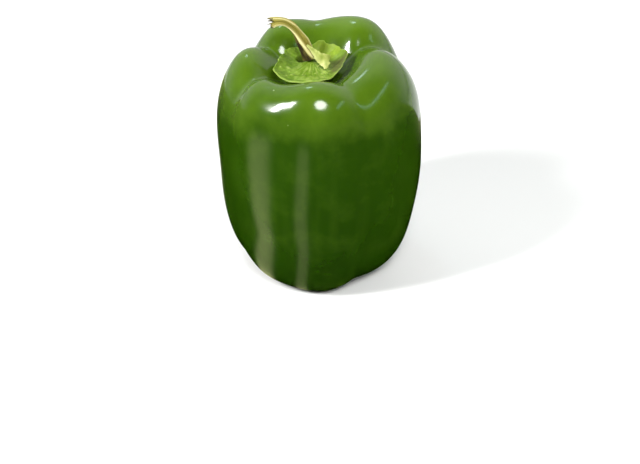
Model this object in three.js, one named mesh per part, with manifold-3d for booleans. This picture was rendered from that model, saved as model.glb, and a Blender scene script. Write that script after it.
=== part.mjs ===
// A blocky green bell pepper, as picked, standing on the lobes of its blossom end.
// Millimetres, +Z up. The origin is on the surface that it stands on, under the middle of its box.
// Azimuths are in degrees, from +X anticlockwise as seen from above.
import * as THREE from 'three';
import { ParametricGeometry } from 'three/addons/geometries/ParametricGeometry.js';
import { mergeVertices } from 'three/addons/utils/BufferGeometryUtils.js';
import Module from 'manifold-3d';

// Driving dimensions
const WIDTH = 88;                  // across the lobes at the shoulder
const HEIGHT = 101;                // from the lowest lobe to an average shoulder
const RAISE = 1.6;                 // lifts the fruit so that its lobes dip just below the surface
const CREASE_SOFTNESS = 0.22;      // 0 is a knife-sharp crease between two lobes
const CAVITY_SHIFT = [-2.7, 1.0];  // the stem cavity's middle, off the middle of the fruit
const GAP = 0.3;                   // between touching pieces

// Each lobe: where it is, how far it reaches, and how much its shoulder rises.
const LOBES = [
  { at: -8, reach: 0.99, rise: -0.6 },
  { at: 47, reach: 1.07, rise: 3.6 },
  { at: 118, reach: 0.97, rise: 1.4 },
  { at: 177, reach: 0.98, rise: -1.6 },
  { at: 224, reach: 0.97, rise: -5.2 },
  { at: 272, reach: 0.975, rise: -1.6 },
];

// The creases between the lobes: 1 is a full crease, 0 none.
const CREASES = [
  { at: 24, depth: 0.95 },
  { at: 88, depth: 0.45 },
  { at: 148, depth: 0.9 },
  { at: 206, depth: 0.55 },
  { at: 251, depth: 0.12 },
  { at: 302, depth: 0.55 },
];

// The fruit's outline, from the dimple underneath, over a foot, up the wall, over the shoulder
// and down into the stem cavity. r is a share of half the width and z of the height. A crease
// narrows r by the share in groove and lowers z by sink; lift is the share of the lobe's rise
// and shift the share of the cavity's shift.
const OUTLINE = [
  { r: 0.00, z: 0.065, groove: 0.00, sink: 0, lift: 0.0, shift: 0.0 },
  { r: 0.09, z: 0.065, groove: 0.00, sink: 0, lift: 0.0, shift: 0.0 },
  { r: 0.20, z: 0.050, groove: 0.05, sink: 0, lift: 0.0, shift: 0.0 },
  { r: 0.36, z: 0.000, groove: 0.10, sink: -3, lift: 0.0, shift: 0.0 },
  { r: 0.56, z: -0.035, groove: 0.13, sink: -6, lift: 0.0, shift: 0.0 },
  { r: 0.76, z: 0.015, groove: 0.11, sink: -3, lift: 0.0, shift: 0.0 },
  { r: 0.89, z: 0.140, groove: 0.06, sink: 0, lift: 0.0, shift: 0.0 },
  { r: 0.96, z: 0.280, groove: 0.032, sink: 0, lift: 0.0, shift: 0.0 },
  { r: 1.00, z: 0.430, groove: 0.022, sink: 0, lift: 0.0, shift: 0.0 },
  { r: 1.01, z: 0.590, groove: 0.024, sink: 0, lift: 0.0, shift: 0.0 },
  { r: 1.00, z: 0.740, groove: 0.045, sink: 1, lift: 0.0, shift: 0.1 },
  { r: 0.93, z: 0.880, groove: 0.085, sink: 4, lift: 0.4, shift: 0.3 },
  { r: 0.78, z: 0.990, groove: 0.12, sink: 6, lift: 0.8, shift: 0.6 },
  { r: 0.61, z: 1.022, groove: 0.12, sink: 7, lift: 1.0, shift: 0.9 },
  { r: 0.47, z: 0.990, groove: 0.09, sink: 5, lift: 1.0, shift: 1.0 },
  { r: 0.36, z: 0.935, groove: 0.04, sink: 2, lift: 0.6, shift: 1.0 },
  { r: 0.24, z: 0.910, groove: 0.00, sink: 0, lift: 0.1, shift: 1.0 },
  { r: 0.12, z: 0.905, groove: 0.00, sink: 0, lift: 0.0, shift: 1.0 },
  { r: 0.00, z: 0.905, groove: 0.00, sink: 0, lift: 0.0, shift: 1.0 },
];
const CAVITY_FLOOR = HEIGHT * 0.905 + RAISE;

// The calyx is a ragged dish: the corners of its rim, with how far each is lifted.
const CALYX_CORNERS = [
  { at: 2, radius: 14.6, lift: 3.2 },
  { at: 12, radius: 14.4, lift: 3.2 },
  { at: 20, radius: 12.6, lift: 2.8 },
  { at: 39, radius: 13.2, lift: 3.2 },
  { at: 58, radius: 11.6, lift: 2.8 },
  { at: 72, radius: 12.4, lift: 3.2 },
  { at: 83, radius: 11.4, lift: 2.8 },
  { at: 98, radius: 10.2, lift: 2.0 },
  { at: 123, radius: 12.6, lift: 1.2 },
  { at: 147, radius: 13.9, lift: 1.2 },
  { at: 167, radius: 13.0, lift: 1.0 },
  { at: 189, radius: 14.2, lift: 0.9 },
  { at: 204, radius: 17.8, lift: 0.9 },
  { at: 230, radius: 19.6, lift: 0.4 },
  { at: 242, radius: 19.2, lift: 0.1 },
  { at: 268, radius: 17.6, lift: 0.0 },
  { at: 293, radius: 17.0, lift: 0.2 },
  { at: 303, radius: 16.2, lift: 0.8 },
  { at: 318, radius: 14.9, lift: 1.6 },
  { at: 337, radius: 13.6, lift: 2.4 },
];
// Its section, from the middle underneath out to the rim and back over the top: share of the
// rim's radius, height above the cavity's floor, and share of the corner's lift.
const CALYX_SECTION = [
  { r: 0.00, z: 0.5, lift: 0.0 },
  { r: 0.35, z: 0.6, lift: 0.0 },
  { r: 0.58, z: 1.5, lift: 0.1 },
  { r: 0.78, z: 3.2, lift: 0.4 },
  { r: 0.93, z: 4.9, lift: 0.9 },
  { r: 1.00, z: 5.7, lift: 1.0 },
  { r: 0.97, z: 6.2, lift: 1.0 },
  { r: 0.84, z: 5.2, lift: 0.6 },
  { r: 0.62, z: 4.1, lift: 0.2 },
  { r: 0.38, z: 3.9, lift: 0.0 },
  { r: 0.20, z: 4.4, lift: 0.0 },
  { r: 0.00, z: 4.6, lift: 0.0 },
];
const CROWN_SHIFT = 3.6;           // the crown under the stem, behind the dish's middle
const CROWN_TOP = CAVITY_FLOOR + 4.6;

// The dried stem: the points of its middle line from the crown's top, and its half widths.
const STEM_LINE = [
  [-1.6, 0.0, -1.0],
  [-2.8, 0.0, 1.9],
  [-5.0, 0.4, 7.1],
  [-6.8, 0.4, 11.3],
  [-8.7, -0.1, 14.7],
  [-11.0, -0.6, 16.9],
  [-13.3, -1.1, 17.9],
  [-15.9, -1.6, 18.0],
  [-17.8, -2.1, 17.6],
];
const STEM_HALF_WIDTHS = [3.0, 2.8, 2.6, 1.9, 1.75, 1.7, 1.85, 2.2, 2.6];
const STEM_FLATNESS = 0.78;        // its thickness as a share of its width
const STEM_GROOVE = 0.34;          // how deep the long groove cuts, as a share of the half width

// The torn, dry flap that hangs from the stem's foot over the dish.
const FLAP_LINE = [
  [-2.8, -1.6, 7.2],
  [0.0, -3.0, 5.5],
  [2.3, -5.2, 3.9],
  [4.9, -7.4, 3.1],
  [5.6, -9.6, 0.6],
];
const FLAP_HALF_WIDTHS = [0.5, 1.0, 1.9, 3.2, 0.4];
const FLAP_HALF_THICKNESS = 0.4;

// The withered style in the dimple underneath.
const STYLE_RADIUS = 1.3;
const STYLE_LENGTH = 3.4;

const STEM_FOOT = new THREE.Vector3(
  CAVITY_SHIFT[0],
  CAVITY_SHIFT[1] + CROWN_SHIFT,
  CROWN_TOP,
);

// How finely each surface is cut up: round it, and along it.
const FRUIT_STEPS = [60, 36];
const CALYX_SLICES = 60;
const STEM_STEPS = [20, 18];
const FLAP_STEPS = [12, 8];
const STYLE_SLICES = 16;

const wasm = await Module();
wasm.setup();

const radians = THREE.MathUtils.degToRad;

// The two stations on either side of an azimuth, and how far it is from the first to the second.
function neighbours(azimuth, stations) {
  const sorted = [...stations].sort((a, b) => wrap(a.at) - wrap(b.at));
  const after = sorted.findIndex((station) => wrap(station.at) > wrap(azimuth));
  const to = sorted[after < 0 ? 0 : after];
  const from = sorted.at((after < 0 ? 0 : after) - 1);
  const span = wrap(to.at - from.at);
  return { from, to, share: wrap(azimuth - from.at) / span };
}

function wrap(degrees) {
  return THREE.MathUtils.euclideanModulo(degrees, 360);
}

// A value that eases from station to station all the way round.
function around(azimuth, stations, key) {
  const { from, to, share } = neighbours(azimuth, stations);
  return THREE.MathUtils.lerp(from[key], to[key], THREE.MathUtils.smoothstep(share, 0, 1));
}

// 0 on the crest of a lobe and 1 at the bottom of a crease: round lobes with tight creases.
function creaseShape(azimuth) {
  const stations = [
    ...LOBES.map((lobe) => ({ at: lobe.at, crest: 1 })),
    ...CREASES.map((crease) => ({ at: crease.at, crest: 0 })),
  ];
  const { from, to, share } = neighbours(azimuth, stations);
  const crest = THREE.MathUtils.lerp(from.crest, to.crest, share);
  const soft = CREASE_SOFTNESS;
  const rounded = Math.hypot(Math.sin(crest * Math.PI / 2), soft) - soft;
  return 1 - rounded / (Math.hypot(1, soft) - soft);
}

// A uniform cubic B-spline over rows of numbers. Its first number is a radius, which turns
// negative past either end, so the outline crosses the axis smoothly.
function outlineSpline(rows, share) {
  const last = rows.length - 1;
  const at = Math.min(share, 1) * last;
  const index = Math.min(Math.floor(at), last - 1);
  const f = at - index;
  const weights = [
    (1 - f) ** 3 / 6,
    (3 * f ** 3 - 6 * f ** 2 + 4) / 6,
    (-3 * f ** 3 + 3 * f ** 2 + 3 * f + 1) / 6,
    f ** 3 / 6,
  ];
  return rows[0].map((_, column) => weights.reduce((sum, weight, k) => {
    const row = index - 1 + k;
    const mirrored = row < 0 || row > last;
    const value = rows[row < 0 ? -row : row > last ? 2 * last - row : row][column];
    return sum + weight * (mirrored && column === 0 ? -value : value);
  }, 0));
}

// The fruit's skin: u goes round it and v along its outline.
function skinPoint(u, v, target) {
  const azimuth = wrap(u * 360);
  const crease = creaseShape(azimuth) * around(azimuth, CREASES, 'depth');
  const reach = around(azimuth, LOBES, 'reach');
  const rise = around(azimuth, LOBES, 'rise');
  const rows = OUTLINE.map((row) => [
    row.r * reach * (1 - row.groove * crease) * WIDTH / 2,
    row.z * HEIGHT - row.sink * crease + row.lift * rise,
    row.shift,
  ]);
  const [radius, height, shift] = outlineSpline(rows, v);
  const angle = radians(azimuth);
  const x = radius * Math.cos(angle) + shift * CAVITY_SHIFT[0];
  const y = radius * Math.sin(angle) + shift * CAVITY_SHIFT[1];
  target.set(x, y, height + RAISE);
}

// The calyx: u goes round it and v along its section.
function calyxPoint(u, v, target) {
  const azimuth = wrap(u * 360);
  const { from, to, share } = neighbours(azimuth, CALYX_CORNERS);
  const rim = THREE.MathUtils.lerp(from.radius, to.radius, share);
  const lift = THREE.MathUtils.lerp(from.lift, to.lift, share);
  const rows = CALYX_SECTION.map((row) => [row.r * rim, row.z + row.lift * lift]);
  const at = Math.min(v, 1) * (rows.length - 1);
  const index = Math.min(Math.floor(at), rows.length - 2);
  const radius = THREE.MathUtils.lerp(rows[index][0], rows[index + 1][0], at - index);
  const height = THREE.MathUtils.lerp(rows[index][1], rows[index + 1][1], at - index);
  const angle = radians(azimuth);
  const crown = CROWN_SHIFT * (1 - radius / rim);
  const x = CAVITY_SHIFT[0] + radius * Math.cos(angle);
  const y = CAVITY_SHIFT[1] + crown + radius * Math.sin(angle);
  target.set(x, y, CAVITY_FLOOR + height);
}

// A closed strip or stalk along a line: an oval section, with an optional groove on its front.
function sweep({ line, halfWidths, flatness, groove = 0, mesh: [slices, steps] }) {
  const points = line.map((point) => new THREE.Vector3(...point).add(STEM_FOOT));
  const path = new THREE.CatmullRomCurve3(points);
  const facing = new THREE.Vector3(0, -1, 0);
  const rows = steps + 2;
  return new ParametricGeometry((u, v, target) => {
    const row = v * rows;
    const share = THREE.MathUtils.clamp((row - 1) / steps, 0, 1);
    const along = path.getTangent(share);
    const side = new THREE.Vector3().crossVectors(facing, along).normalize();
    const front = new THREE.Vector3().crossVectors(along, side);
    const angle = 2 * Math.PI * u;
    const cut = 1 - groove * Math.max(0, Math.sin(angle)) ** 6;
    const size = row < 0.5 || row > rows - 0.5 ? 0 : halfWidthAt(halfWidths, share);
    path.getPoint(share, target);
    target.addScaledVector(side, size * Math.cos(angle));
    target.addScaledVector(front, flatness(size) * Math.sin(angle) * cut);
  }, slices, rows);
}

function halfWidthAt(halfWidths, share) {
  const at = share * (halfWidths.length - 1);
  const index = Math.min(Math.floor(at), halfWidths.length - 2);
  const eased = THREE.MathUtils.smoothstep(at - index, 0, 1);
  return THREE.MathUtils.lerp(halfWidths[index], halfWidths[index + 1], eased);
}

function stemGeometry() {
  return sweep({
    line: STEM_LINE,
    halfWidths: STEM_HALF_WIDTHS,
    flatness: (size) => size * STEM_FLATNESS,
    groove: STEM_GROOVE,
    mesh: STEM_STEPS,
  });
}

function flapGeometry() {
  return sweep({
    line: FLAP_LINE,
    halfWidths: FLAP_HALF_WIDTHS,
    flatness: (size) => Math.min(size, FLAP_HALF_THICKNESS),
    mesh: FLAP_STEPS,
  });
}

// The style hangs from the dimple: a thin stalk with a rounded, slightly wider tip.
function styleGeometry() {
  const top = OUTLINE[0].z * HEIGHT + RAISE - GAP;
  const profile = [
    new THREE.Vector2(0, top - STYLE_LENGTH),
    new THREE.Vector2(STYLE_RADIUS * 0.8, top - STYLE_LENGTH * 0.9),
    new THREE.Vector2(STYLE_RADIUS, top - STYLE_LENGTH * 0.65),
    new THREE.Vector2(STYLE_RADIUS * 0.7, top - STYLE_LENGTH * 0.3),
    new THREE.Vector2(STYLE_RADIUS * 0.9, top - STYLE_LENGTH * 0.05),
    new THREE.Vector2(0, top),
  ];
  return new THREE.LatheGeometry(profile, STYLE_SLICES).rotateX(Math.PI / 2);
}

// A closed geometry as a solid: shared vertices merged, collapsed triangles dropped.
function solidOf(geometry) {
  const bare = geometry.clone();
  bare.deleteAttribute('normal');
  bare.deleteAttribute('uv');
  const merged = mergeVertices(bare);
  const corners = merged.index.array;
  const kept = [];
  for (let i = 0; i < corners.length; i += 3) {
    const [a, b, c] = corners.slice(i, i + 3);
    if (a !== b && b !== c && c !== a) kept.push(a, b, c);
  }
  return new wasm.Manifold(new wasm.Mesh({
    numProp: 3,
    vertProperties: new Float32Array(merged.attributes.position.array),
    triVerts: new Uint32Array(kept),
  }));
}

function geometryOf(solid) {
  const mesh = solid.getMesh();
  const geometry = new THREE.BufferGeometry();
  geometry.setAttribute('position', new THREE.BufferAttribute(mesh.vertProperties, 3));
  geometry.setIndex(new THREE.BufferAttribute(mesh.triVerts, 1));
  geometry.computeVertexNormals();
  return geometry;
}

// The fruit, cut level where its lobes stand.
function fruitGeometry() {
  const whole = solidOf(new ParametricGeometry(skinPoint, ...FRUIT_STEPS));
  const under = solidOf(new THREE.BoxGeometry(2 * WIDTH, 2 * WIDTH, HEIGHT).translate(0, 0, -HEIGHT / 2));
  return geometryOf(whole.subtract(under));
}

function calyxGeometry() {
  return new ParametricGeometry(calyxPoint, CALYX_SLICES, CALYX_SECTION.length - 1);
}

// What stands on the calyx, cut to the calyx's top with a gap between them.
function aboveCalyx(geometry) {
  return geometryOf(solidOf(geometry).subtract(solidOf(calyxGeometry().translate(0, 0, GAP))));
}

function piece(name, geometry, color, roughness) {
  const mesh = new THREE.Mesh(geometry, new THREE.MeshStandardMaterial({ color, roughness, metalness: 0 }));
  mesh.name = name;
  return mesh;
}

const pepper = new THREE.Group();
pepper.add(piece('fruit', fruitGeometry(), 0x3f6b0c, 0.2));
pepper.add(piece('calyx', geometryOf(solidOf(calyxGeometry())), 0x83a43a, 0.6));
pepper.add(piece('stem', aboveCalyx(stemGeometry()), 0xc8bd78, 0.7));
pepper.add(piece('torn_flap', aboveCalyx(flapGeometry()), 0xb4b566, 0.7));
pepper.add(piece('style_stub', geometryOf(solidOf(styleGeometry())), 0x6b5a35, 0.8));

// The middle of the pepper's box goes over the origin.
const middle = new THREE.Box3().setFromObject(pepper).getCenter(new THREE.Vector3());
pepper.position.set(-middle.x, -middle.y, 0);

export default pepper;
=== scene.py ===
import math

import bpy
import numpy as np
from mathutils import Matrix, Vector


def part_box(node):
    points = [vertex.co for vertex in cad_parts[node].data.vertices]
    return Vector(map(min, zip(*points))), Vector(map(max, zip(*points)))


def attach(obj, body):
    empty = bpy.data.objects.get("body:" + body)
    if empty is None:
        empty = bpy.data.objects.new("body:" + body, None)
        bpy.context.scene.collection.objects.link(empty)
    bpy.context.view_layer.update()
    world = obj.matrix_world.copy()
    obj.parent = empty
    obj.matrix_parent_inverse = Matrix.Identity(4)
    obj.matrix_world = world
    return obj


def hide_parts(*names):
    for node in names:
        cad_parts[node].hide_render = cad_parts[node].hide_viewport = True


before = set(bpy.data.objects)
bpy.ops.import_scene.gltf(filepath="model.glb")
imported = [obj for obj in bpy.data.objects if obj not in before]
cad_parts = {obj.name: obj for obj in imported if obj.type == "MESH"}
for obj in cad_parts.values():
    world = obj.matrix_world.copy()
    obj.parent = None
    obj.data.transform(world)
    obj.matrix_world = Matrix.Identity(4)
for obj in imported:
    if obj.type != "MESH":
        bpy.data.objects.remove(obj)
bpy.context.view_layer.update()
fruitLow, fruitHigh = (Vector(corner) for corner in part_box("fruit"))
bpy.context.scene.view_settings.view_transform = "Standard"


# The camera's place is worked out from the fruit's box.
cameraSettings = {
    "distance": 0.54,       # metres from the middle of the fruit
    "elevation": 33.0,      # degrees above that middle
    "tilt": 36.4,           # degrees that it looks down
    "lens": 70.0,
    "aimHeight": 0.48,      # share of the fruit's height
}


def addCamera():
    # The camera stands on a circle round the fruit's middle and only pitches down.
    data = bpy.data.cameras.new("camera")
    data.lens = cameraSettings["lens"]
    data.clip_start = 0.01
    camera = bpy.data.objects.new("camera", data)
    bpy.context.scene.collection.objects.link(camera)
    rise = math.radians(cameraSettings["elevation"])
    middle = (fruitLow + fruitHigh) / 2
    middle.z = fruitHigh.z * cameraSettings["aimHeight"]
    back = Vector((0, -math.cos(rise), math.sin(rise)))
    camera.location = middle + back * cameraSettings["distance"]
    camera.rotation_euler = (math.radians(90 - cameraSettings["tilt"]), 0, 0)
    bpy.context.scene.camera = camera


addCamera()
print("camera placed")


def gridMesh(name, grid):
    # Rows run along the surface and columns round it. The last column joins the first, and an
    # end row whose points all meet becomes one point with a fan of triangles.
    rows, columns = grid.shape[:2]
    startsAtPole = np.ptp(grid[0], axis=0).max() < 1e-9
    endsAtPole = np.ptp(grid[-1], axis=0).max() < 1e-9
    ids = np.arange(rows * columns).reshape(rows, columns)
    if startsAtPole:
        ids[0] = 0
        ids[1:] -= columns - 1
    if endsAtPole:
        ids[-1] = ids[-2, -1] + 1
    points = np.zeros((ids.max() + 1, 3))
    points[ids] = grid
    nextIds = np.roll(ids, -1, axis=1)
    u = np.arange(columns + 1) / columns
    v = np.arange(rows) / (rows - 1)
    uLeft, vLow = np.meshgrid(u[:-1], v[:-1])
    uRight, vHigh = np.meshgrid(u[1:], v[1:])
    corners = np.stack([ids[:-1], nextIds[:-1], nextIds[1:], ids[1:]], -1)
    cornerUv = np.stack([
        np.stack([uLeft, vLow], -1), np.stack([uRight, vLow], -1),
        np.stack([uRight, vHigh], -1), np.stack([uLeft, vHigh], -1)], 2)
    keep = np.ones(corners.shape, bool)
    keep[0, :, 1] = not startsAtPole
    keep[-1, :, 3] = not endsAtPole
    loops = corners[keep]
    sizes = keep.reshape(-1, 4).sum(1)
    mesh = bpy.data.meshes.new(name)
    mesh.vertices.add(len(points))
    mesh.vertices.foreach_set("co", points.ravel())
    mesh.loops.add(len(loops))
    mesh.loops.foreach_set("vertex_index", loops.astype(np.int32))
    mesh.polygons.add(len(sizes))
    mesh.polygons.foreach_set("loop_start", (np.cumsum(sizes) - sizes).astype(np.int32))
    mesh.polygons.foreach_set("use_smooth", np.ones(len(sizes), bool))
    mesh.uv_layers.new(name="UVMap").data.foreach_set("uv", cornerUv[keep].ravel())
    mesh.update(calc_edges=True)
    mesh.validate()
    piece = bpy.data.objects.new(name, mesh)
    bpy.context.scene.collection.objects.link(piece)
    return piece, ids


def paint(piece, ids, **layers):
    # Each layer is one number for every point of the grid, kept as an attribute of the mesh.
    for name, values in layers.items():
        flat = np.zeros(len(piece.data.vertices), np.float32)
        flat[ids] = np.broadcast_to(values, ids.shape)
        piece.data.attributes.new(name, "FLOAT", "POINT").data.foreach_set("value", flat)


def neighbours(azimuth, stations):
    # The stations on either side of each azimuth, and the share of the way between them.
    at = np.array(stations, float) % 360
    order = np.argsort(at)
    after = np.searchsorted(at[order], azimuth % 360, side="right") % len(at)
    before = order[after - 1]
    after = order[after]
    share = ((azimuth - at[before]) % 360) / ((at[after] - at[before]) % 360)
    return before, after, share


def around(azimuth, stations, values, eased=True):
    # A value that goes from station to station, along a straight or an eased line.
    before, after, share = neighbours(azimuth, stations)
    values = np.array(values, float)
    if eased:
        share = share * share * (3 - 2 * share)
    return values[before] * (1 - share) + values[after] * share


def soften(values, degrees):
    # A circular Gaussian blur: each frequency fades with the square of itself.
    turns = np.fft.rfftfreq(len(values), 1 / len(values))
    fade = np.exp(-(np.radians(degrees) * turns) ** 2 / 2)
    return np.fft.irfft(np.fft.rfft(values) * fade, len(values))


def outlineSpline(rows, steps):
    # A uniform cubic B-spline down the first axis of rows. Past an end the radius, which is
    # the first number, turns negative, so the outline crosses the axis smoothly.
    last = len(rows) - 1
    at = np.linspace(0, last, steps)
    index = np.minimum(at.astype(int), last - 1)
    f = at - index
    weights = [(1 - f) ** 3 / 6, (3 * f ** 3 - 6 * f ** 2 + 4) / 6,
               (-3 * f ** 3 + 3 * f ** 2 + 3 * f + 1) / 6, f ** 3 / 6]
    total = 0
    for offset, weight in zip((-1, 0, 1, 2), weights):
        row = index + offset
        mirrored = (row < 0) | (row > last)
        row = np.where(row < 0, -row, np.where(row > last, 2 * last - row, row))
        value = rows[row].copy()
        value[mirrored, ..., 0] *= -1
        total = total + value * weight.reshape((-1,) + (1,) * (rows.ndim - 1))
    return total


def fitToBox(points, low, high):
    # Stretches points, axis by axis, from their own box to the box of the frame's node.
    own = points.reshape(-1, 3)
    ownLow, ownHigh = own.min(0), own.max(0)
    low, high = np.array(low), np.array(high)
    return low + (points - ownLow) / (ownHigh - ownLow) * (high - low)


def waves(shape, places, count, wavelength, seed):
    # Smooth noise: a sum of plane waves in random directions, each with a random phase.
    rng = np.random.default_rng(seed)
    directions = rng.normal(size=(count, 3))
    directions /= np.linalg.norm(directions, axis=1, keepdims=True)
    lengths = wavelength * rng.uniform(0.7, 1.5, count)
    phases = rng.uniform(0, 2 * np.pi, count)
    total = np.zeros(shape)
    for direction, length, phase in zip(directions, lengths, phases):
        total += np.sin(places @ direction * 2 * np.pi / length + phase)
    return total / math.sqrt(count / 2)


def surfaceNormals(grid):
    # The cross product of the steps round the surface and along it, of length one.
    aroundStep = np.roll(grid, -1, 1) - np.roll(grid, 1, 1)
    alongStep = np.gradient(grid, axis=0)
    normals = np.cross(aroundStep, alongStep)
    return normals / (np.linalg.norm(normals, axis=-1, keepdims=True) + 1e-12)


def newMaterial(name, color, **values):
    # A Principled material with its colour and the sockets that are the same all over.
    material = bpy.data.materials.new(name)
    material.use_nodes = True
    material.diffuse_color = (*color, 1)
    shader = material.node_tree.nodes["Principled BSDF"]
    shader.inputs["Base Color"].default_value = (*color, 1)
    for socket, value in values.items():
        shader.inputs[socket].default_value = value
    return material, shader


def node(material, kind, links=None, **values):
    # Adds a node, sets its properties and sockets, and links what feeds its sockets.
    tree = material.node_tree
    made = tree.nodes.new(kind)
    for key, value in values.items():
        setattr(made, key, value)
    for socket, source in (links or {}).items():
        if isinstance(source, bpy.types.NodeSocket):
            tree.links.new(source, made.inputs[socket])
        else:
            made.inputs[socket].default_value = source
    return made


def noiseFrom(material, coordinates, scale, detail=3.0, roughness=0.5, stretch=None):
    # Noise on the piece's own coordinates, optionally stretched along its axes.
    if stretch:
        mapping = node(material, "ShaderNodeMapping", {"Vector": coordinates, "Scale": stretch})
        coordinates = mapping.outputs["Vector"]
    made = node(material, "ShaderNodeTexNoise", {
        "Vector": coordinates, "Scale": scale, "Detail": detail, "Roughness": roughness})
    return made.outputs["Fac"]


def remap(material, value, low, high, toLow=0.0, toHigh=1.0):
    # A straight line from (low, toLow) to (high, toHigh), level outside it.
    made = node(material, "ShaderNodeMapRange", {
        "Value": value, "From Min": low, "From Max": high, "To Min": toLow, "To Max": toHigh})
    return made.outputs["Result"]


def blendColors(material, share, first, second):
    # A mix of two colours, each a socket or three numbers.
    made = node(material, "ShaderNodeMix", data_type="RGBA")
    sockets = {"Factor": made.inputs[0], "A": made.inputs[6], "B": made.inputs[7]}
    for key, value in (("Factor", share), ("A", first), ("B", second)):
        if isinstance(value, bpy.types.NodeSocket):
            material.node_tree.links.new(value, sockets[key])
        elif key == "Factor":
            sockets[key].default_value = value
        else:
            sockets[key].default_value = (*value, 1)
    return made.outputs[2]


def combine(material, operation, first, second):
    # One arithmetic step on two values.
    made = node(material, "ShaderNodeMath", {0: first, 1: second}, operation=operation)
    return made.outputs[0]


def attribute(material, name):
    # A value painted on the mesh.
    return node(material, "ShaderNodeAttribute", attribute_name=name).outputs["Fac"]


def bumpInto(material, shader, height, distance, strength=1.0, under=None):
    # Bumps the shader's normal by the height, over the bump underneath if there is one.
    links = {"Height": height, "Distance": distance, "Strength": strength}
    if under is not None:
        links["Normal"] = under
    made = node(material, "ShaderNodeBump", links)
    material.node_tree.links.new(made.outputs["Normal"], shader.inputs["Normal"])
    return made.outputs["Normal"]


fruitShape = {
    # lobe: azimuth in degrees, reach, rise of its shoulder in mm
    "lobes": [(-8, 0.99, -0.6), (47, 1.07, 3.6), (118, 0.97, 1.4),
              (177, 0.98, -1.6), (224, 0.97, -5.2), (272, 0.975, -1.6)],
    # crease: azimuth, depth
    "creases": [(24, 0.95), (88, 0.45), (148, 0.9), (206, 0.55), (251, 0.12), (302, 0.55)],
    # outline from the dimple underneath to the stem cavity: radius, height, groove, sink, lift, shift
    "outline": [
        (0.00, 0.065, 0.00, 0, 0.0, 0.0), (0.09, 0.065, 0.00, 0, 0.0, 0.0),
        (0.20, 0.050, 0.05, 0, 0.0, 0.0), (0.36, 0.000, 0.10, -3, 0.0, 0.0),
        (0.56, -0.035, 0.13, -6, 0.0, 0.0), (0.76, 0.015, 0.11, -3, 0.0, 0.0),
        (0.89, 0.140, 0.06, 0, 0.0, 0.0), (0.96, 0.280, 0.032, 0, 0.0, 0.0),
        (1.00, 0.430, 0.022, 0, 0.0, 0.0), (1.01, 0.590, 0.024, 0, 0.0, 0.0),
        (1.00, 0.740, 0.045, 1, 0.0, 0.1), (0.93, 0.880, 0.085, 4, 0.4, 0.3),
        (0.78, 0.990, 0.12, 6, 0.8, 0.6), (0.61, 1.022, 0.12, 7, 1.0, 0.9),
        (0.47, 0.990, 0.09, 5, 1.0, 1.0), (0.36, 0.935, 0.04, 2, 0.6, 1.0),
        (0.24, 0.910, 0.00, 0, 0.1, 1.0), (0.12, 0.905, 0.00, 0, 0.0, 1.0),
        (0.00, 0.905, 0.00, 0, 0.0, 1.0)],
    "width": 88.0,
    "height": 101.0,
    "raise": 1.6,               # mm, so that the lobes dip below the surface and are pressed flat
    "creaseSoftness": 0.22,
    "cavityShift": (-2.7, 1.0),
    "columns": 400,
    "rows": 220,
    "creaseBlur": 1.6,          # degrees
    "lobeBlur": 6.0,
    "unevenness": 0.25,         # mm of low, wide swellings
    "swellings": 18,
    "swellingLength": 34.0,     # mm
    "calmRadius": 12.0,         # mm round the axis where swellings fade out
    "footRounding": 0.3,        # mm
    # bulge: middle in mm, radius in mm, height in mm
    "bulges": [(-5.8, -33.4, 96.0, 12.0, 0.75), (-12.2, 15.2, 100.2, 7.5, 1.3),
                (10.0, 15.0, 101.0, 7.0, 0.8), (1.0, 15.4, 96.5, 6.0, 1.1)],
    "seed": 11,
}


def creaseShape(azimuth):
    # 0 on a lobe's crest and 1 at a crease's bottom: a rounded absolute sine between them.
    lobeAt = [lobe[0] for lobe in fruitShape["lobes"]]
    creaseAt = [crease[0] for crease in fruitShape["creases"]]
    kinds = [1.0] * len(lobeAt) + [0.0] * len(creaseAt)
    crest = around(azimuth, lobeAt + creaseAt, kinds, eased=False)
    soft = fruitShape["creaseSoftness"]
    rounded = np.hypot(np.sin(crest * np.pi / 2), soft) - soft
    return 1 - rounded / (math.hypot(1, soft) - soft)


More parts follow.
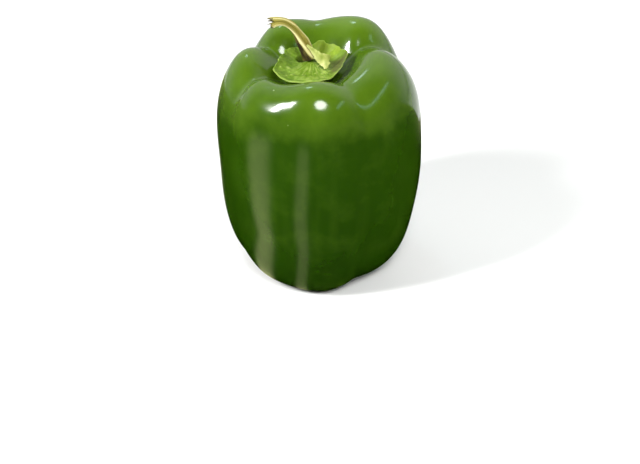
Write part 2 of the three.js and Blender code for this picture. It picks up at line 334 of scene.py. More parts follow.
def fruitGrid():
    # Each meridian is a B-spline through the outline's rows, with radius times reach times
    # (1 - groove * crease) and height - sink * crease + lift * rise. Swellings and bulges, each a
    # bell curve of the distance from its middle, push it outwards, and its feet are pressed level.
    shape = fruitShape
    azimuth = np.arange(shape["columns"]) * 360 / shape["columns"]
    lobes = np.array(shape["lobes"])
    creases = np.array(shape["creases"])
    outline = np.array(shape["outline"], float)[:, :, None]
    crease = soften(creaseShape(azimuth) * around(azimuth, creases[:, 0], creases[:, 1]), shape["creaseBlur"])
    reach = soften(around(azimuth, lobes[:, 0], lobes[:, 1]), shape["lobeBlur"])
    rise = soften(around(azimuth, lobes[:, 0], lobes[:, 2]), shape["lobeBlur"])
    radius = outline[:, 0] * reach * (1 - outline[:, 2] * crease) * shape["width"] / 2
    height = outline[:, 1] * shape["height"] - outline[:, 3] * crease + outline[:, 4] * rise
    shift = outline[:, 5] + 0 * azimuth
    curve = outlineSpline(np.stack([radius, height, shift], -1), shape["rows"])
    curve[0, :, 0] = curve[-1, :, 0] = 0
    angle = np.radians(azimuth)
    x = curve[..., 0] * np.cos(angle) + curve[..., 2] * shape["cavityShift"][0]
    y = curve[..., 0] * np.sin(angle) + curve[..., 2] * shape["cavityShift"][1]
    grid = np.stack([x, y, curve[..., 1] + shape["raise"]], -1)
    swelling = waves(grid.shape[:2], grid, shape["swellings"], shape["swellingLength"], shape["seed"])
    calm = np.clip(curve[..., 0] / shape["calmRadius"], 0, 1) ** 2
    bulging = swelling * shape["unevenness"] * calm
    for *middle, size, tall in shape["bulges"]:
        bulging = bulging + tall * np.exp(-((grid - middle) ** 2).sum(-1) / size ** 2)
    grid = grid + surfaceNormals(grid) * bulging[..., None]
    z = grid[..., 2]
    grid[..., 2] = (z + np.sqrt(z * z + shape["footRounding"] ** 2)) / 2
    return fitToBox(grid, fruitLow, fruitHigh)


skinLook = {
    # shoulder: partly the fruit's yellower tone, partly painted light from above; wall and low grow darker
    # downwards as painted shade
    "shoulder": (0.086, 0.166, 0.007),
    "wall": (0.0145, 0.047, 0.0003),
    "low": (0.0085, 0.032, 0.0002),
    "pale": (0.080, 0.150, 0.010),
    "speck": (0.350, 0.450, 0.200),
    "roughness": 0.38,
    "coat": 1.0,
    "coatRoughness": 0.14,
    # shares of the height between which one colour passes into the next
    "lowToWall": (0.15, 0.75),
    "wallToShoulder": (0.87, 1.15),
    # patterns per metre
    "mottle": 45.0,
    "streaks": 160.0,
    "blotches": 90.0,
    "specks": 330.0,
    "pores": 900.0,
    "ripple": 120.0,
}


def skinMaterial():
    # Yellower and lighter at the shoulders, partly the fruit's own tone and partly painted light from
    # above, and darker below, which is painted shade; with faint mottling, lengthwise streaks,
    # pale pin-head specks and shallow pores under a clear waxy coat.
    look = skinLook
    material, shader = newMaterial("skin", look["wall"], **{
        "Roughness": look["roughness"], "IOR": 1.45, "Specular IOR Level": 0.0,
        "Coat Weight": look["coat"], "Coat Roughness": look["coatRoughness"], "Coat IOR": 1.5,
        "Subsurface Weight": 0.12, "Subsurface Scale": 0.004})
    shader.inputs["Subsurface Radius"].default_value = (0.6, 1.0, 0.15)
    place = node(material, "ShaderNodeTexCoord").outputs["Object"]
    height = attribute(material, "heightShare")
    mottle = noiseFrom(material, place, look["mottle"], 4.0, 0.55)
    wandering = combine(material, "MULTIPLY_ADD", mottle, 0.25)
    material.node_tree.links.new(height, wandering.node.inputs[2])
    # painted shade lower on the wall, then painted light at the shoulders, blended by height
    body = blendColors(material, remap(material, wandering, *look["lowToWall"]), look["low"], look["wall"])
    shoulderShare = remap(material, wandering, *look["wallToShoulder"])
    body = blendColors(material, shoulderShare, body, look["shoulder"])
    streaks = noiseFrom(material, place, look["streaks"], 2.0, 0.5, stretch=(1.0, 1.0, 0.08))
    body = blendColors(material, remap(material, streaks, 0.52, 0.80, 0.0, 0.10), body, look["pale"])
    blotches = noiseFrom(material, place, look["blotches"], 5.0, 0.62)
    body = blendColors(material, remap(material, blotches, 0.48, 0.78, 0.0, 0.16), body, look["pale"])
    specks = node(material, "ShaderNodeTexVoronoi", {
        "Vector": place, "Scale": look["specks"], "Randomness": 1.0})
    chosen = remap(material, specks.outputs["Color"], 0.90, 0.93)
    dot = remap(material, specks.outputs["Distance"], 0.05, 0.13, 1.0, 0.0)
    speckShare = combine(material, "MULTIPLY", combine(material, "MULTIPLY", chosen, dot), 0.70)
    body = blendColors(material, speckShare, body, look["speck"])
    material.node_tree.links.new(body, shader.inputs["Base Color"])
    rough = remap(material, blotches, 0.3, 0.8, look["roughness"] - 0.05, look["roughness"] + 0.10)
    material.node_tree.links.new(rough, shader.inputs["Roughness"])
    pores = noiseFrom(material, place, look["pores"], 2.0, 0.5)
    first = bumpInto(material, shader, pores, 0.00003, 0.5)
    ripple = noiseFrom(material, place, look["ripple"], 2.0, 0.45)
    last = bumpInto(material, shader, ripple, 0.00016, 0.4, under=first)
    material.node_tree.links.new(last, shader.inputs["Coat Normal"])
    return material


def addFruit():
    # The whole skin, with each point's height as a share of the fruit's for its colours, which carry
    # painted light at the shoulders and painted shade lower down.
    grid = fruitGrid()
    piece, ids = gridMesh("pepperSkin", grid)
    paint(piece, ids, heightShare=grid[..., 2] / fruitHigh.z)
    piece.data.materials.append(skinMaterial())
    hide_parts("fruit")
    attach(piece, "root")
    print("fruit:", len(piece.data.polygons), "faces")


addFruit()


calyxShape = {
    # corner of the rim: azimuth, radius in mm, lift in mm
    "corners": [(2, 14.6, 3.2), (12, 14.4, 3.2), (20, 12.6, 2.8), (39, 13.2, 3.2), (58, 11.6, 2.8),
                (72, 12.4, 3.2), (83, 11.4, 2.8), (98, 10.2, 2.0), (104, 8.4, 0.8), (117, 8.4, 0.8),
                (123, 12.6, 1.2), (147, 13.9, 1.2), (167, 13.0, 1.0), (189, 14.2, 0.9), (204, 17.8, 0.9),
                (230, 19.6, 0.4), (242, 19.2, 0.1), (268, 17.6, 0.0), (293, 17.0, 0.2), (303, 16.2, 0.8),
                (318, 14.9, 1.6), (337, 13.6, 2.4)],
    # section: share of the rim's radius, height over the cavity's floor in mm, share of lift
    "section": [(0.0, 0.5, 0.0), (0.35, 0.6, 0.0), (0.58, 1.5, 0.1), (0.78, 3.2, 0.4),
                (0.93, 4.9, 0.9), (1.0, 5.7, 1.0), (0.97, 6.2, 1.0), (0.84, 5.2, 0.6),
                (0.62, 4.1, 0.2), (0.38, 3.9, 0.0), (0.20, 4.4, 0.0), (0.0, 4.6, 0.0)],
    "crownShift": 3.6,
    "columns": 360,
    "rows": 150,
    "veins": 26,
    "veinHeight": 0.08,
    "wrinkleHeight": 0.05,
    "warts": 18,
    "wartAzimuths": (160, 330),
    "wartRadii": (7, 17),       # mm from the middle
    "wartSizes": (0.35, 0.80),
    "wartHeights": (0.10, 0.40),
    "pitMiddle": (-3.8, 4.8),
    "pitHalfWidths": (2.7, 2.3),
    "pitDepth": 2.6,
    "pitRing": 0.35,            # mm that its edge stands up
    "seed": 5,
}


def calyxGrid():
    # A closed dish: the section is carried round with the rim's radius and lift, which go in
    # straight lines from corner to corner. Veins, warts and a pit with a raised ring, where the
    # stem stands, are added to its top.
    shape = calyxShape
    azimuth = np.arange(shape["columns"]) * 360 / shape["columns"]
    angle = np.radians(azimuth)
    corners = np.array(shape["corners"], float)
    rng = np.random.default_rng(shape["seed"])
    ragged = sum(rng.uniform(0.3, 1.4) / k * np.sin(k * angle + rng.uniform(0, 6.3))
                 for k in range(7, 40, 3))
    rim = soften(around(azimuth, corners[:, 0], corners[:, 1], eased=False), 0.8) + ragged
    lift = soften(around(azimuth, corners[:, 0], corners[:, 2], eased=False), 2.0) + ragged
    section = np.array(shape["section"], float)
    steps = np.linspace(0, len(section) - 1, shape["rows"])
    table = np.stack([np.interp(steps, np.arange(len(section)), section[:, k]) for k in range(3)], -1)
    kernel = np.hanning(15) / np.hanning(15).sum()
    padded = np.concatenate([np.repeat(table[:1], 7, 0), table, np.repeat(table[-1:], 7, 0)])
    table = np.stack([np.convolve(padded[:, k], kernel, "valid") for k in range(3)], -1)
    table[0, 0] = table[-1, 0] = 0
    radius = table[:, 0, None] * rim
    height = table[:, 1, None] + table[:, 2, None] * lift
    rimRow = int(np.argmax(table[:, 0]))
    top = np.clip((np.arange(shape["rows"]) - rimRow) / 10, 0, 1)[:, None]
    crown = shape["crownShift"] * (1 - radius / rim)
    x = radius * np.cos(angle)
    y = radius * np.sin(angle) + crown
    outward = np.clip(radius / rim, 0, 1)
    wander = 0.6 * np.sin(3 * angle + 4 * outward) + 0.3 * np.sin(7 * angle - 9 * outward)
    vein = np.abs(np.sin(shape["veins"] / 2 * angle + wander)) ** 0.6
    reach = np.clip((outward - 0.12) / 0.2, 0, 1) * np.clip((0.88 - outward) / 0.4, 0, 1)
    height = height - shape["veinHeight"] * (vein - 0.5) * reach * top
    wrinkle = np.sin(24 * outward + 2.2 * np.sin(4 * angle)) * np.clip((outward - 0.5) / 0.4, 0, 1)
    height = height + shape["wrinkleHeight"] * wrinkle * top
    warts = 0 * height
    for _ in range(shape["warts"]):
        wartAngle = rng.uniform(*np.radians(shape["wartAzimuths"]))
        wartRadius = rng.uniform(*shape["wartRadii"])
        wartX, wartY = wartRadius * np.cos(wartAngle), wartRadius * np.sin(wartAngle)
        size, tall = rng.uniform(*shape["wartSizes"]), rng.uniform(*shape["wartHeights"])
        warts = warts + top * tall * np.exp(-((x - wartX) ** 2 + (y - wartY) ** 2) / size ** 2)
    height = height + warts
    pitX, pitY = shape["pitMiddle"]
    pitWide, pitDeep = shape["pitHalfWidths"]
    pit = np.hypot((x - pitX) / pitWide, (y - pitY) / pitDeep)
    ring = shape["pitRing"] * np.exp(-((pit - 1.15) / 0.28) ** 2)
    height = height + top * (ring - shape["pitDepth"] * np.exp(-pit ** 4))
    grid = np.stack([x, y, height], -1)
    crumple = waves(grid.shape[:2], grid, 14, 7.0, shape["seed"] + 1)
    creased = waves(grid.shape[:2], grid, 24, 2.6, shape["seed"] + 2)
    grid[..., 2] += (0.22 * crumple + 0.07 * creased * top) * outward
    return grid, outward, warts, top, pit


calyxLook = {
    "fresh": (0.080, 0.160, 0.005),
    "bright": (0.135, 0.235, 0.010),
    "pale": (0.300, 0.400, 0.080),
    "flap": (0.240, 0.340, 0.025),
    "dry": (0.085, 0.085, 0.025),
    "pit": (0.020, 0.022, 0.004),
    "roughness": 0.5,
}


def calyxMaterial():
    # Fresh green with paler veins and warts; a paler rim, partly its own tone and partly painted
    # highlight along the edge; a yellower raised flap at the back, partly its own tone and partly
    # painted light; dried olive patches on one side, partly dryness and partly painted shade on the
    # inner wall there; a line of painted shade in the crease where the flap meets the dish; and a
    # dark pit of painted shade under the stem.
    look = calyxLook
    material, shader = newMaterial("calyxGreen", look["fresh"], **{
        "Roughness": look["roughness"], "IOR": 1.45, "Specular IOR Level": 0.25,
        "Subsurface Weight": 0.15, "Subsurface Scale": 0.002})
    shader.inputs["Subsurface Radius"].default_value = (0.7, 1.0, 0.2)
    place = node(material, "ShaderNodeTexCoord").outputs["Object"]
    broad = noiseFrom(material, place, 180.0, 3.0, 0.5)
    fine = noiseFrom(material, place, 700.0, 4.0, 0.6)
    body = blendColors(material, remap(material, broad, 0.35, 0.65), look["fresh"], look["bright"])
    spokes = node(material, "ShaderNodeUVMap", uv_map="UVMap").outputs["UV"]
    streaks = noiseFrom(material, spokes, 26.0, 3.0, 0.55, stretch=(2.0, 0.22, 1.0))
    streakShare = remap(material, streaks, 0.44, 0.62, 0.0, 0.95)
    streakShare = combine(material, "MULTIPLY", streakShare, attribute(material, "spokes"))
    body = blendColors(material, streakShare, body, look["pale"])
    wartShare = remap(material, attribute(material, "wart"), 0.1, 0.5, 0.0, 0.8)
    body = blendColors(material, wartShare, body, look["pale"])
    body = blendColors(material, remap(material, fine, 0.60, 0.75, 0.0, 0.35), body, look["pale"])
    # a darker line in the crease where the raised flap meets the dish: painted shade
    foldShare = remap(material, attribute(material, "fold"), 0.0, 1.0, 0.0, 0.5)
    body = blendColors(material, foldShare, body, look["dry"])
    # the raised flap at the back: partly its own yellower tone, partly painted light where it faces the lamps
    body = blendColors(material, attribute(material, "raised"), body, look["flap"])
    # dried olive patches on the right: partly dryness, partly painted shade on the inner wall there
    patches = remap(material, fine, 0.25, 0.55, 0.45, 1.0)
    dryShare = combine(material, "MULTIPLY", attribute(material, "dryness"), patches)
    body = blendColors(material, dryShare, body, look["dry"])
    # paler rim: partly the edge's own pale tone, partly painted highlight along the edge
    rimShare = remap(material, attribute(material, "outward"), 0.955, 0.995, 0.0, 0.75)
    body = blendColors(material, rimShare, body, look["pale"])
    # the dark pit under the stem: painted shade
    body = blendColors(material, attribute(material, "pitShade"), body, look["pit"])
    material.node_tree.links.new(body, shader.inputs["Base Color"])
    bumpInto(material, shader, fine, 0.0004, 0.6)
    return material


def addCalyx():
    # The dish and where its colours lie: each layer is a soft-edged region in x and y.
    grid, outward, warts, top, pit = calyxGrid()
    x, y = grid[..., 0], grid[..., 1]
    # right-hand patches: partly dried tissue and partly painted shade on the calyx's inner right wall
    dryness = np.clip((x - 6.0) / 2.5, 0, 1) * np.clip((3 - y) / 3, 0, 1) * np.clip((y + 13) / 4, 0, 1)
    # the raised back flap's colour region: partly its own tone, partly painted light
    raised = np.clip((y - 2.5) / 2.5, 0, 1) * np.clip((x + 0.5) / 2, 0, 1)
    spokes = np.exp(-((x - 1.5) / 7) ** 2 - ((y + 7) / 7) ** 2) + 0.25
    # the line of painted shade along the crease between the raised flap and the dish
    fold = np.exp(-((y - 3.2 + 0.35 * (x - 4)) / 0.5) ** 2) * np.clip((x - 3.0) / 2, 0, 1)
    piece, ids = gridMesh("calyxDish", fitToBox(grid, *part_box("calyx")))
    paint(piece, ids, outward=outward, wart=warts / calyxShape["wartHeights"][1],
          raised=0.7 * raised * top, spokes=np.clip(spokes, 0, 1) * top, fold=fold * top,
          dryness=0.9 * dryness * top, pitShade=0.9 * top * np.exp(-(pit / 0.95) ** 4))
    piece.data.materials.append(calyxMaterial())
    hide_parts("calyx")
    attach(piece, "root")
    print("calyx:", len(piece.data.polygons), "faces")


addCalyx()


def smoothLine(points, steps):
    # A Catmull-Rom line through the points, with its tangents.
    points = np.array(points, float)
    ends = np.concatenate([2 * points[:1] - points[1:2], points, 2 * points[-1:] - points[-2:-1]])
    at = np.linspace(0, len(points) - 1, steps)
    index = np.minimum(at.astype(int), len(points) - 2)
    f = (at - index)[:, None]
    a, b, c, d = (ends[index + k] for k in range(4))
    line = 0.5 * (2 * b + (c - a) * f + (2 * a - 5 * b + 4 * c - d) * f ** 2
                  + (3 * b - a - 3 * c + d) * f ** 3)
    tangent = np.gradient(line, axis=0)
    return line, tangent / np.linalg.norm(tangent, axis=1, keepdims=True)


def stripGrid(line, tangent, wide, thick, facing):
    # A closed strip: across it the offset is wide * cos, and to its front thick * sin.
    side = np.cross(facing, tangent)
    side /= np.linalg.norm(side, axis=-1, keepdims=True)
    front = np.cross(tangent, side)
    body = line[:, None] + side[:, None] * wide[..., None] + front[:, None] * thick[..., None]
    return np.concatenate([line[:1, None] + 0 * body[:1], body, line[-1:, None] + 0 * body[:1]])


def withEnds(rows):
    # Repeats the first and the last row, for the points that close a strip's ends.
    return np.concatenate([rows[:1], rows, rows[-1:]])


stemShape = {
    "line": [(-1.6, 0.0, -1.0), (-2.8, 0.0, 1.9), (-5.0, 0.4, 7.1), (-6.8, 0.4, 11.3), (-8.7, -0.1, 14.7),
             (-11.0, -0.6, 16.9), (-13.3, -1.1, 17.9), (-15.9, -1.6, 18.0), (-17.8, -2.1, 17.6)],
    "halfWidths": [3.0, 2.8, 2.6, 1.9, 1.75, 1.7, 1.85, 2.2, 2.6],
    "flatness": [0.85, 0.85, 0.85, 0.80, 0.75, 0.68, 0.60, 0.50, 0.38],
    "groove": 0.36,
    "columns": 120,
    "rows": 160,
    "seed": 3,
}


def stemGrid():
    # An oval with a long groove on its front, a ridge at either side of it, a keeled back and
    # fine fibres; its end is torn, so it stops sooner or later round the section.
    shape = stemShape
    line, tangent = smoothLine(shape["line"], shape["rows"])
    along = np.linspace(0, 1, shape["rows"])[:, None]
    angle = (np.arange(shape["columns"]) / shape["columns"] * 2 * np.pi)[None]
    stations = np.linspace(0, 1, len(shape["halfWidths"]))
    half = np.interp(along, stations, shape["halfWidths"])
    flat = np.interp(along, stations, shape["flatness"])
    twist = angle - 1.7 * np.clip(1 - along / 0.55, 0, 1)
    fromFront = np.angle(np.exp(1j * (twist - np.pi / 2)))
    groove = shape["groove"] * np.exp(-(fromFront / 0.42) ** 2)
    ridges = 0.16 * np.exp(-((np.abs(fromFront) - 0.85) / 0.30) ** 2)
    backGroove = 0.22 * np.exp(-((np.abs(fromFront) - 2.5) / 0.35) ** 2)
    rng = np.random.default_rng(shape["seed"])
    fibres = sum(
        rng.uniform(0.006, 0.016) * np.sin(k * twist + rng.uniform(0, 6.3) + rng.uniform(-3, 3) * along)
        for k in range(9, 34, 2))
    size = half * (1 - groove + ridges - backGroove + fibres)
    wide = size * np.cos(angle)
    thick = size * np.sin(angle) * flat
    torn = sum(rng.uniform(0.15, 0.5) * np.sin(k * angle + rng.uniform(0, 6.3)) for k in range(2, 14))
    grid = stripGrid(line, tangent, wide, thick, np.array([0.0, -1.0, 0.0]))
    pull = withEnds(along) ** 14
    grid = grid + tangent[-1] * (pull * torn)[..., None]
    grid[-1] = line[-1] - 2.2 * tangent[-1]
    return grid, along, fromFront


stemLook = {
    "straw": (0.420, 0.350, 0.065),
    # ridge: partly the stalk's paler tone, partly painted highlight
    "ridge": (0.900, 0.820, 0.420),
    "olive": (0.190, 0.170, 0.022),
    "brown": (0.030, 0.019, 0.006),
    "roughness": 0.6,
}


def stemMaterial():
    # Straw with pale ridges that are partly painted highlight, an olive groove, lengthwise fibres,
    # and brown at foot and tip; the brown on the underside is partly painted shade.
    look = stemLook
    material, shader = newMaterial("dryStem", look["straw"], **{
        "Roughness": look["roughness"], "IOR": 1.45, "Specular IOR Level": 0.35})
    fibreMap = node(material, "ShaderNodeUVMap", uv_map="UVMap").outputs["UV"]
    fibres = noiseFrom(material, fibreMap, 30.0, 4.0, 0.6, stretch=(1.6, 0.10, 1.0))
    place = node(material, "ShaderNodeTexCoord").outputs["Object"]
    blotches = noiseFrom(material, place, 260.0, 3.0, 0.55)
    body = blendColors(material, remap(material, fibres, 0.35, 0.65), look["straw"], look["olive"])
    body = blendColors(material, attribute(material, "ridge"), body, look["ridge"])
    body = blendColors(material, attribute(material, "hollow"), body, look["olive"])
    patches = remap(material, blotches, 0.30, 0.60, 0.55, 1.0)
    # brown on the underside and foot: partly the bark's own brown, partly painted shade; brown at the tip is
    # its own
    brownShare = combine(material, "MULTIPLY", attribute(material, "browning"), patches)
    body = blendColors(material, brownShare, body, look["brown"])
    material.node_tree.links.new(body, shader.inputs["Base Color"])
    bumpInto(material, shader, fibres, 0.0004, 0.7)
    return material


def addStem():
    # The stalk, with bell curves round its section for the pale ridges, which are partly painted
    # highlight, and the olive groove.
    grid, along, fromFront = stemGrid()
    lower = np.exp(-((fromFront + 0.85) / 0.24) ** 2)
    upper = 0.7 * np.exp(-((fromFront - 0.90) / 0.20) ** 2)
    # pale ridges: partly the stalk's paler tone, partly painted highlight where light catches them
    ridge = withEnds(lower + upper + 0 * along)
    hollow = withEnds(0.55 * np.exp(-(fromFront / 0.40) ** 2) + 0 * along)
    # the underside gets brown that is partly the bark's own and partly painted shade, most at the foot
    under = np.clip((-fromFront - 1.08) / 0.15, 0, 1) + np.clip((fromFront - 2.2) / 0.3, 0, 1)
    foot = np.clip((0.48 - along) / 0.16, 0, 1)
    tip = np.clip((along - 0.955) / 0.04, 0, 1)
    browning = withEnds(np.clip(under * (0.25 + 0.75 * foot) + 0.85 * tip, 0, 1))
    piece, ids = gridMesh("stemStalk", fitToBox(grid, *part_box("stem")))
    paint(piece, ids, ridge=0.9 * ridge, hollow=hollow, browning=browning)
    piece.data.materials.append(stemMaterial())
    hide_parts("stem")
    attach(piece, "root")
    print("stem:", len(piece.data.polygons), "faces")


addStem()


flapShape = {
    "line": [(-2.8, -1.6, 7.2), (0.0, -3.0, 5.5), (2.3, -5.2, 3.9), (4.9, -7.4, 3.1), (5.6, -9.6, 0.6)],
    "halfWidths": [0.5, 1.0, 1.9, 3.2, 0.4],
    "halfThickness": 0.32,
    "buckle": 0.30,             # mm
    "loosening": 0.4,           # share of its length over which edge and buckle set in
    "standOff": (0.4, -0.4, 0.3),    # mm that its root is moved away from the stem
    "columns": 90,
    "rows": 90,
    "seed": 8,
}


def flapGrid():
    # A thin strip whose edges wander and whose middle buckles with smooth noise, both from
    # nothing at its root.
    shape = flapShape
    line, tangent = smoothLine(shape["line"], shape["rows"])
    along = np.linspace(0, 1, shape["rows"])[:, None]
    angle = (np.arange(shape["columns"]) / shape["columns"] * 2 * np.pi)[None]
    half = np.interp(along, np.linspace(0, 1, len(shape["halfWidths"])), shape["halfWidths"])
    rng = np.random.default_rng(shape["seed"])
    edge = sum(
        rng.uniform(0.02, 0.07) * np.sin(k * 6.3 * along + rng.uniform(0, 6.3) + np.cos(angle))
        for k in range(2, 12))
    loose = np.clip(along / shape["loosening"], 0, 1)
    wide = half * (1 + loose * edge) * np.cos(angle)
    thick = np.minimum(half, shape["halfThickness"]) * np.sin(angle)
    grid = stripGrid(line, tangent, wide, thick, np.array([0.0, -1.0, 0.0]))
    buckle = waves(grid.shape[:2], grid, 10, 6.0, shape["seed"] + 1)
    grid = grid + shape["buckle"] * (withEnds(loose) * buckle)[..., None] * np.array([0.3, -0.6, 0.7])
    return grid, np.cos(angle) + 0 * along


flapLook = {
    "plain": (0.27, 0.28, 0.10),
    "green": (0.24, 0.30, 0.05),
    "straw": (0.42, 0.46, 0.12),
    "edge": (0.62, 0.64, 0.26),
    "brown": (0.16, 0.12, 0.03),
    "roughness": 0.55,
}


def flapMaterial():
    # Papery and yellow-green, paler towards one edge, with fine brown flecks.
    look = flapLook
    material, shader = newMaterial("paperyFlap", look["plain"], **{
        "Roughness": look["roughness"], "IOR": 1.45, "Specular IOR Level": 0.4})
    place = node(material, "ShaderNodeTexCoord").outputs["Object"]
    fine = noiseFrom(material, place, 500.0, 4.0, 0.6)
    body = blendColors(material, remap(material, fine, 0.35, 0.65), look["green"], look["straw"])
    edgeShare = remap(material, attribute(material, "across"), -1.0, 0.2)
    body = blendColors(material, edgeShare, look["edge"], body)
    body = blendColors(material, remap(material, fine, 0.62, 0.72, 0.0, 0.5), body, look["brown"])
    material.node_tree.links.new(body, shader.inputs["Base Color"])
    bumpInto(material, shader, fine, 0.0004, 0.6)
    return material


def addFlap():
    # The strip, its root moved off the stem by standOff times the square of the way to go.
    grid, across = flapGrid()
    grid[0] = grid[0].mean(0)
    grid[-1] = grid[-1].mean(0)
    grid = fitToBox(grid, *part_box("torn_flap"))
    along = np.linspace(0, 1, len(grid))[:, None]
    grid = grid + ((1 - along) ** 2)[..., None] * np.array(flapShape["standOff"]) / 1000
    piece, ids = gridMesh("tornFlap", grid)
    paint(piece, ids, across=withEnds(across))
    piece.data.materials.append(flapMaterial())
    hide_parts("torn_flap")
    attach(piece, "root")
    print("flap:", len(piece.data.polygons), "faces")


addFlap()


styleShape = {
    # profile: share of the length, share of the radius
    "profile": [(0, 0), (0.1, 0.8), (0.35, 1.0), (0.7, 0.7), (0.95, 0.9), (1.0, 0.0)],
    "wrinkles": (0.10, 0.05),
    "columns": 48,
    "rows": 40,
}

styleLook = {
    "plain": (0.16, 0.11, 0.04),
    "dark": (0.10, 0.06, 0.02),
    "light": (0.36, 0.29, 0.12),
    "roughness": 0.7,
}


def styleMaterial():
    # Withered brown, blotched lighter and darker, with a rough surface.
    look = styleLook
    material, shader = newMaterial("witheredBrown", look["plain"], Roughness=look["roughness"])
    place = node(material, "ShaderNodeTexCoord").outputs["Object"]
    fine = noiseFrom(material, place, 900.0)
    body = blendColors(material, remap(material, fine, 0.35, 0.65), look["dark"], look["light"])
    material.node_tree.links.new(body, shader.inputs["Base Color"])
    bumpInto(material, shader, fine, 0.0003, 0.7)
    return material


def addStyle():
    # The withered style in the dimple underneath: a profile turned round the dimple's axis,
    # wrinkled by a few waves.
    shape = styleShape
    along = np.linspace(0, 1, shape["rows"])[:, None]
    angle = (np.arange(shape["columns"]) / shape["columns"] * 2 * np.pi)[None]
    profile = np.interp(along, *zip(*shape["profile"]))
    coarse, fine = shape["wrinkles"]
    radius = profile * (1 + coarse * np.sin(5 * angle + 3 * along) + fine * np.sin(11 * angle))
    grid = np.stack([radius * np.cos(angle), radius * np.sin(angle), along + 0 * angle], -1)
    piece, ids = gridMesh("styleStub", fitToBox(grid, *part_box("style_stub")))
    piece.data.materials.append(styleMaterial())
    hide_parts("style_stub")
    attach(piece, "root")
    print("style:", len(piece.data.polygons), "faces")


addStyle()


stageSettings = {
    "floorSize": 6.0,
    "floorColor": (0.93, 0.93, 0.92),
    # light: azimuth, elevation, distance in m, width, height in m, power in W, colour
    "lights": {
        "keyBox": (207, 39, 1.0, 0.12, 0.36, 12.0, (1.0, 1.0, 1.0)),
        "frontBox": (284, 51, 1.0, 0.42, 0.32, 7.5, (1.0, 1.0, 1.0)),
        "backBox": (112, 55, 1.2, 0.20, 0.20, 0.8, (0.70, 0.95, 1.0)),
        "sideBox": (345, 39, 1.2, 0.75, 0.07, 0.45, (0.60, 0.95, 1.0)),
        "fillBox": (352, 8, 1.0, 0.50, 0.50, 4.2, (1.0, 1.0, 0.92)),
    },
    "sleeve": {
        "radius": 0.066,
        # height: azimuth, metres
        "heights": [(60, 0.05), (100, 0.055), (150, 0.08), (190, 0.09), (215, 0.10), (340, 0.10),
                    (365, 0.075), (385, 0.052), (420, 0.05)],
        # gap, a band of painted reflection of pale floor: azimuth at the floor, lean in degrees per metre,
        # half width in degrees, brightness
        "gaps": [(218, 85, 9.0, 1.5), (254, 30, 5.0, 1.0), (118, 0, 32.0, 0.45)],
        "gapTop": 0.085,
        "gapFade": 0.012,
        "edgeGlow": 1.0,        # how bright its top edge is behind the fruit
        "frontEdge": 0.24,      # the share of that in front
        "glow": (1.0, 1.03, 0.50),
        "clearance": 0.0005,    # metres over the floor
        "columns": 240,
        "rows": 24,
    },
    "backdrop": 1.1,
    "room": 0.03,
}


def addLight(name, azimuth, elevation, distance, width, height, power, color):
    # An area light on a sphere round the fruit's middle, turned towards it.
    data = bpy.data.lights.new(name, "AREA")
    data.shape = "ELLIPSE"
    data.size = width
    data.size_y = height
    data.energy = power
    data.color = color
    light = bpy.data.objects.new(name, data)
    bpy.context.scene.collection.objects.link(light)
    turn, rise = math.radians(azimuth), math.radians(elevation)
    out = Vector((math.cos(turn) * math.cos(rise), math.sin(turn) * math.cos(rise), math.sin(rise)))
    light.location = (fruitLow + fruitHigh) / 2 + out * distance
    light.rotation_euler = out.to_track_quat("Z", "Y").to_euler()
    light.visible_glossy = name != "fillBox"


def addFloor():
    # One square sheet at the height of the feet.
    half = stageSettings["floorSize"] / 2
    mesh = bpy.data.meshes.new("floor")
    corners = [(-half, -half, 0), (half, -half, 0), (half, half, 0), (-half, half, 0)]
    mesh.from_pydata(corners, [], [(0, 1, 2, 3)])
    floor = bpy.data.objects.new("floor", mesh)
    bpy.context.scene.collection.objects.link(floor)
    material, shader = newMaterial("paleFloor", stageSettings["floorColor"], **{
        "Roughness": 0.9, "Specular IOR Level": 0.1})
    mesh.materials.append(material)


def addCard(name, points, faces, glow, material):
    # A glowing or black card that only reflections see.
    mesh = bpy.data.meshes.new(name)
    mesh.from_pydata(points.tolist(), [], faces)
    mesh.attributes.new("glow", "FLOAT", "POINT").data.foreach_set("value", glow)
    mesh.materials.append(material)
    card = bpy.data.objects.new(name, mesh)
    bpy.context.scene.collection.objects.link(card)
    for ray in ("camera", "diffuse", "shadow", "transmission", "volume_scatter"):
        setattr(card, "visible_" + ray, False)


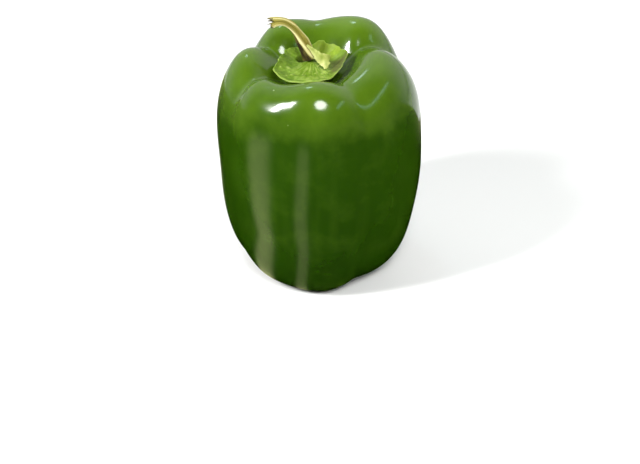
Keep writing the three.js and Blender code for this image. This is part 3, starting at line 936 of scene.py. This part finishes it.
def addSleeve():
    # A sleeve of black card round the fruit, unseen by the camera: painted dark reflections where
    # other dark fruit would stand. Its glow, a painted reflection of pale floor seen through leaning
    # gaps, is brightness times exp(-(turn from the gap's middle / half width) ** 4), and fades out near
    # the gap's top. The last part of the card brightens with the square of the height, a painted
    # reflection that softens its edge.
    settings = stageSettings["sleeve"]
    heights = settings["heights"]
    azimuth = np.linspace(heights[0][0], heights[-1][0], settings["columns"])
    top = np.interp(azimuth, *zip(*heights))
    share = np.linspace(0, 1, settings["rows"])[:, None]
    rise = share * top
    turn = np.radians(azimuth) + 0 * rise
    radius, clearance = settings["radius"], settings["clearance"]
    wall = np.stack([np.cos(turn) * radius, np.sin(turn) * radius, rise + clearance], -1)
    glow = 0 * rise
    for at, lean, wide, brightness in settings["gaps"]:
        away = (azimuth - at - lean * rise + 180) % 360 - 180
        glow = glow + brightness * np.exp(-(away / wide) ** 4)
    glow = glow * np.clip((settings["gapTop"] - rise) / settings["gapFade"], 0, 1)
    behind = np.clip(np.sin(turn), 0, 1) ** 4
    edge = settings["edgeGlow"] * (settings["frontEdge"] + (1 - settings["frontEdge"]) * behind)
    # painted reflection along the card's top edge, brighter behind the fruit
    glow = glow + edge * np.clip((share - 0.6) / 0.4, 0, 1) ** 2
    rows, columns = rise.shape
    ids = np.arange(rows * columns).reshape(rows, columns)
    faces = np.stack([ids[:-1, :-1], ids[:-1, 1:], ids[1:, 1:], ids[1:, :-1]], -1)
    disc = [(columns, first, first + 1) for first in range(columns - 1)]
    material = bpy.data.materials.new("sleeveCard")
    material.use_nodes = True
    material.node_tree.nodes.clear()
    light = node(material, "ShaderNodeEmission", {
        "Color": (*settings["glow"], 1), "Strength": attribute(material, "glow")})
    output = node(material, "ShaderNodeOutputMaterial")
    material.node_tree.links.new(light.outputs[0], output.inputs["Surface"])
    addCard("sleeve", wall.reshape(-1, 3), faces.reshape(-1, 4).tolist(), glow.ravel(), material)
    base = np.append(wall[0], [[0, 0, clearance]], 0)
    addCard("sleeveBase", base, disc, np.append(glow[0], 0), material)


def addWorld():
    # White where the camera looks; otherwise a white backdrop behind and a dimmer room in front.
    world = bpy.data.worlds.new("studio")
    bpy.context.scene.world = world
    world.use_nodes = True
    tree = world.node_tree
    tree.nodes.clear()
    place = tree.nodes.new("ShaderNodeTexCoord")
    split = tree.nodes.new("ShaderNodeSeparateXYZ")
    tree.links.new(place.outputs["Generated"], split.inputs[0])
    behind = tree.nodes.new("ShaderNodeMapRange")
    behind.interpolation_type = "SMOOTHSTEP"
    for socket, value in (("From Min", -0.15), ("From Max", 0.55),
                          ("To Min", stageSettings["room"]), ("To Max", stageSettings["backdrop"])):
        behind.inputs[socket].default_value = value
    tree.links.new(split.outputs["Y"], behind.inputs["Value"])
    rays = tree.nodes.new("ShaderNodeLightPath")
    choose = tree.nodes.new("ShaderNodeMix")
    tree.links.new(rays.outputs["Is Camera Ray"], choose.inputs[0])
    tree.links.new(behind.outputs["Result"], choose.inputs[2])
    choose.inputs[3].default_value = 1.0
    background = tree.nodes.new("ShaderNodeBackground")
    tree.links.new(choose.outputs[0], background.inputs["Strength"])
    output = tree.nodes.new("ShaderNodeOutputWorld")
    tree.links.new(background.outputs[0], output.inputs["Surface"])


addFloor()
addSleeve()
addWorld()
for lightName, values in stageSettings["lights"].items():
    addLight(lightName, *values)
print("stage set")
